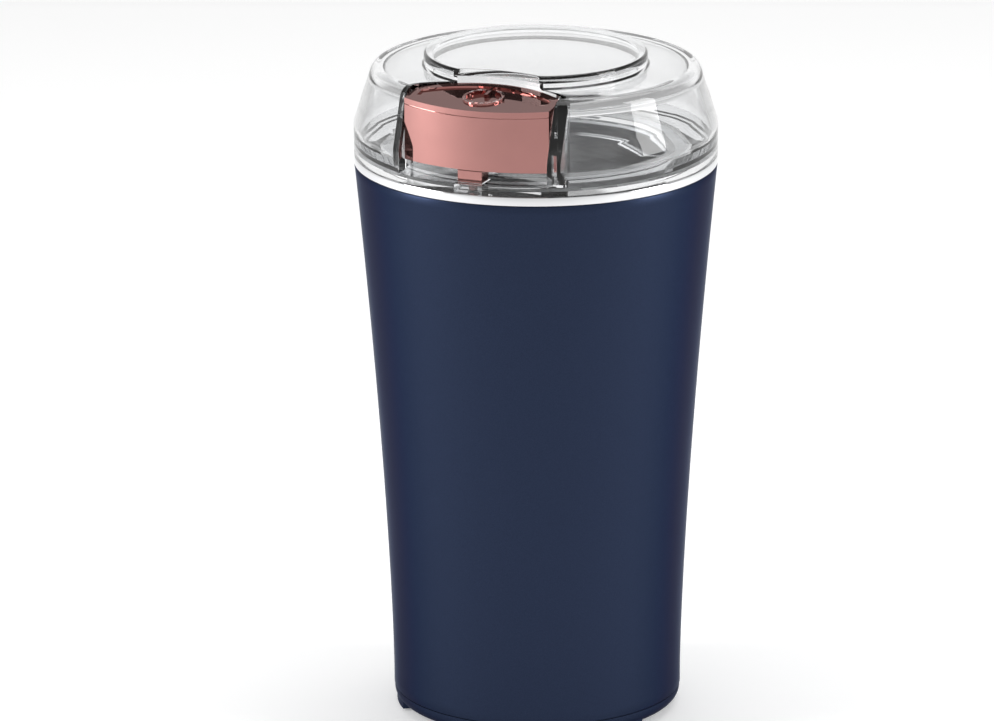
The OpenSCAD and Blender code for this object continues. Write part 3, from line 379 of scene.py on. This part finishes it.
def makeRim():
    r = rim
    profile = rounded([(r["inner"], r["low"], r["edge"]),
                       (r["radius"] - r["underIn"], r["low"], r["underEdge"]),
                       (r["radius"], r["low"] + r["underUp"], r["sideEdge"]),
                       (r["radius"], r["high"], r["topEdge"]),
                       (r["step"], r["high"], r["stepEdge"]),
                       (r["step"], r["shelf"], r["edge"]),
                       (r["inner"], r["shelf"], r["edge"])], r["edgeSteps"])
    obj = turned("rimRing", profile, r["steps"])
    low, high = r["low"] - r["past"], r["high"] + r["past"]
    cut(obj, drill(r["headRadius"], (0, -r["headAt"], low), (0, -r["headAt"], high)))
    cut(obj, block((-r["keyHalf"], r["keyIn"], low), (r["keyHalf"], r["keyOut"], high)))
    finishPiece(obj, "rim_ring")


makeRim()

softEdges = {  # node: piece, width of the rounding, segments
    "base_cover": ("baseCover", 0.25, 2),
    "cord_grommet": ("cordGrommet", 0.3, 3),
    "foot_pads": ("footPads", 0.2, 2),
    "grinding_bowl": ("grindingBowl", 0.12, 2),
    "lid_shell": ("lidShell", 0.22, 2),
    "button_shell": ("buttonShell", 0.25, 3),
    "button_cover": ("buttonCover", 0.25, 3),
    "button_carrier": ("buttonCarrier", 0.25, 2),
    "lower_blade": ("lowerBlade", 0.1, 2),
    "upper_blade": ("upperBlade", 0.1, 2),
    "blade_nut": ("bladeNut", 0.15, 2),
    "push_rod": ("pushRod", 0.2, 2),
}
softening = {"flatBelow": math.radians(0.3), "roundFrom": math.radians(30), "merge": 2e-6}


def softCopy(nodeName, name, width, segments):
    p = softening
    bm = bmesh.new()
    bm.from_mesh(nodes[nodeName].data)
    bmesh.ops.remove_doubles(bm, verts=bm.verts, dist=p["merge"])
    bmesh.ops.dissolve_limit(bm, angle_limit=p["flatBelow"], verts=bm.verts, edges=bm.edges, delimit=set())
    sharp = [e for e in bm.edges if len(e.link_faces) == 2 and e.calc_face_angle(0) > p["roundFrom"]]
    bmesh.ops.bevel(bm, geom=sharp, offset=width * mm, offset_type="OFFSET", segments=segments, profile=0.5,
                    affect="EDGES", clamp_overlap=True, material=-1)
    bmesh.ops.triangulate(bm, faces=[f for f in bm.faces if len(f.verts) > 4])
    return fromMesh(bm, name)


def flatten(obj):  # broad faces stay flat beside the rounded edges
    mod = obj.modifiers.new("flat", "WEIGHTED_NORMAL")
    mod.keep_sharp = True
    mod.weight = 100
    bpy.context.view_layer.objects.active = obj
    bpy.ops.object.modifier_apply(modifier=mod.name)


# the lid is turned but for its pocket: every ring of corners gets one slope, so the clear wall doesn't ripple
turnedWall = {"pocketHalf": 23.0, "pocketBack": -17.0, "pocketInside": 43.5, "centre": 0.5, "aside": 0.09,
              "ringWidth": 0.06 * mm, "ringHeight": 0.04 * mm, "together": math.radians(36)}


def turnedSlope(face):  # the face's slope in its own radial plane, or None where it isn't turned
    w = turnedWall
    x, y, _ = face.center / mm
    out = math.hypot(x, y)
    inPocket = abs(x) < w["pocketHalf"] and y < w["pocketBack"] and out < w["pocketInside"]
    if out < w["centre"] or inPocket:
        return None
    if abs(face.normal.y * x - face.normal.x * y) / out > w["aside"]:
        return None
    return math.atan2((face.normal.x * x + face.normal.y * y) / out, face.normal.z)


def turnedNormals(obj):
    w = turnedWall
    mesh = obj.data

    def ring(index):
        at = mesh.vertices[index].co
        return round(math.hypot(at.x, at.y) / w["ringWidth"]), round(at.z / w["ringHeight"])

    def halfTurn(angle):
        return (angle + math.pi) % (2 * math.pi) - math.pi

    slopes = {face.index: turnedSlope(face) for face in mesh.polygons}
    rings = {}
    for face in mesh.polygons:
        if slopes[face.index] is not None:
            for index in face.vertices:
                rings.setdefault(ring(index), []).append((slopes[face.index], face.area))
    normals = [corner.vector.copy() for corner in mesh.corner_normals]
    for face in mesh.polygons:
        own = slopes[face.index]
        if own is None:
            continue
        for loop in face.loop_indices:
            index = mesh.loops[loop].vertex_index
            near = [(halfTurn(slope - own), area) for slope, area in rings[ring(index)]]
            near = [(angle, area) for angle, area in near if abs(angle) < w["together"]]
            slope = own + sum(angle * area for angle, area in near) / sum(area for _, area in near)
            at = mesh.vertices[index].co
            outward = math.sin(slope) / math.hypot(at.x, at.y)
            normals[loop] = Vector((outward * at.x, outward * at.y, math.cos(slope)))
    mesh.normals_split_custom_set(normals)


for nodeName, values in softEdges.items():
    piece = finishPiece(softCopy(nodeName, *values), nodeName)
    flatten(piece)
    if nodeName == "lid_shell":
        turnedNormals(piece)
    print(piece.name, len(piece.data.polygons), "faces")

springs = {
    "button_spring": {"name": "buttonSpring", "at": (0, -33), "radius": 3.4, "wire": 0.35, "turns": 4,
                      "low": 153.7, "high": 161.05, "joint": "button_press", "anchor": 153.3, "reach": 8.2},
    "rod_spring": {"name": "rodSpring", "at": (0, -41.9), "radius": 2.0, "wire": 0.25, "turns": 4,
                   "low": 141.4, "high": 146.75, "joint": "rod_slide", "anchor": 141.1, "reach": 6.0},
}
coil = {"stepsPerTurn": 28, "wireSides": 12, "travel": 3.0}


def makeSpring(nodeName, s):
    x, y = s["at"]
    steps = coil["stepsPerTurn"] * s["turns"]
    bm = bmesh.new()
    bmesh.ops.create_circle(bm, segments=coil["wireSides"], radius=s["wire"] * mm)
    start = Vector((x + s["radius"], y, s["low"])) * mm
    bm.transform(Matrix.Translation(start) @ Matrix.Rotation(math.pi / 2, 4, "X"))
    rise = (s["high"] - s["low"]) * mm / steps
    bmesh.ops.spin(bm, geom=bm.verts[:] + bm.edges[:], cent=Vector((x, y, 0)) * mm, axis=(0, 0, 1),
                   dvec=(0, 0, rise), angle=2 * math.pi * s["turns"], steps=steps, use_duplicate=False)
    bmesh.ops.holes_fill(bm, edges=[e for e in bm.edges if e.is_boundary], sides=0)
    bmesh.ops.recalc_face_normals(bm, faces=bm.faces)
    obj = finishPiece(fromMesh(bm, s["name"]), nodeName)
    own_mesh(obj)


for nodeName, s in springs.items():
    makeSpring(nodeName, s)
print("pieces made")

# the backdrop is plain white for every ray that sees it, and above it the room is dimmer
room = {"level": 0.42, "backdropTop": (0.30, 0.42)}
floor = {"colour": (0.82, 0.82, 0.82), "rough": 0.9, "lift": 0.27, "radius": 8, "sides": 96}
camera = {"turn": 22.2, "distance": 1.8, "height": 0.62145, "pitch": 0.28523, "pan": -0.00578, "roll": -0.004,
          "lens": 257.65, "sensor": 36, "seesTo": 50}
lamps = {  # name: turn from the camera, distance, height, size, power
    "topLamp": (160, 0.35, 1.2, (1.0, 1.0), 6.0),
    "leftLamp": (-78, 0.95, 0.42, (0.36, 0.80), 7.0),
    "rightLamp": (78, 1.0, 0.42, (0.36, 0.80), 6.5),
}
lampAim = Vector((0, 0, 0.08))


def maths(tree, operation, a, b):
    n = node(tree, "ShaderNodeMath", operation=operation)
    link(tree, a, n.inputs[0])
    link(tree, b, n.inputs[1])
    return n.outputs["Value"]


def mixed(tree, factor, a, b):
    n = node(tree, "ShaderNodeMix")
    link(tree, factor, n.inputs["Factor"])
    link(tree, a, n.inputs[2])
    link(tree, b, n.inputs[3])
    return n.outputs[0]


def seenBy(tree):  # metal and glass show the same white as the camera sees
    path = node(tree, "ShaderNodeLightPath")
    mirrored = maths(tree, "MAXIMUM", path.outputs["Is Glossy Ray"], path.outputs["Is Transmission Ray"])
    return maths(tree, "MAXIMUM", path.outputs["Is Camera Ray"], mirrored)


def makeWorld():
    world = bpy.data.worlds.new("studio")
    bpy.context.scene.world = world
    world.use_nodes = True
    tree = world.node_tree
    tree.nodes.clear()
    parts = node(tree, "ShaderNodeSeparateXYZ")
    link(tree, node(tree, "ShaderNodeTexCoord").outputs["Generated"], parts.inputs["Vector"])
    above = spread(tree, parts.outputs["Z"], 0, 1, room["backdropTop"])
    shown = mixed(tree, above, 1.0, room["level"])
    background = node(tree, "ShaderNodeBackground")
    background.inputs["Color"].default_value = (1, 1, 1, 1)
    link(tree, mixed(tree, seenBy(tree), room["level"], shown), background.inputs["Strength"])
    out = node(tree, "ShaderNodeOutputWorld")
    link(tree, background.outputs["Background"], out.inputs["Surface"])


def makeFloor():
    bm = bmesh.new()
    bmesh.ops.create_circle(bm, cap_ends=True, segments=floor["sides"], radius=floor["radius"])
    obj = fromMesh(bm, "floor")
    mat = newMaterial("floorWhite", floor["colour"], 0, floor["rough"])
    # a little lift to white where the floor is seen or mirrored, and the shadow stays
    tree, shader = mat.node_tree, shaderOf(mat)
    shader.inputs["Emission Color"].default_value = (1, 1, 1, 1)
    lift = maths(tree, "MULTIPLY", seenBy(tree), floor["lift"])
    link(tree, lift, shader.inputs["Emission Strength"])
    obj.data.materials.append(mat)


def makeLamp(name, turn, distance, height, size, power):
    data = bpy.data.lights.new(name, "AREA")
    data.shape = "RECTANGLE"
    data.size, data.size_y = size
    data.energy = power
    obj = bpy.data.objects.new(name, data)
    angle = math.radians(camera["turn"] + turn)
    obj.location = (distance * math.sin(angle), -distance * math.cos(angle), height)
    obj.rotation_euler = (lampAim - obj.location).to_track_quat("-Z", "Y").to_euler()
    obj.visible_camera = obj.visible_transmission = False
    bpy.context.scene.collection.objects.link(obj)


def makeCamera():
    c = camera
    data = bpy.data.cameras.new("camera")
    data.lens = c["lens"]
    data.sensor_width = c["sensor"]
    data.clip_end = c["seesTo"]
    obj = bpy.data.objects.new("camera", data)
    bpy.context.scene.collection.objects.link(obj)
    turn = math.radians(c["turn"])
    right = Vector((math.cos(turn), math.sin(turn), 0))
    away = Vector((-math.sin(turn), math.cos(turn), 0))
    obj.location = -c["distance"] * away + Vector((0, 0, c["height"]))
    look = (right * math.sin(c["pan"]) + away * math.cos(c["pan"])) * math.cos(c["pitch"])
    look.z = -math.sin(c["pitch"])
    facing = look.to_track_quat("-Z", "Y").to_matrix()
    obj.rotation_euler = (facing @ Matrix.Rotation(c["roll"], 3, "Z")).to_euler()
    bpy.context.scene.camera = obj


makeWorld()
makeFloor()
for name, values in lamps.items():
    makeLamp(name, *values)
makeCamera()
bpy.context.scene.view_settings.view_transform = "Standard"
print("stage, light and camera made")
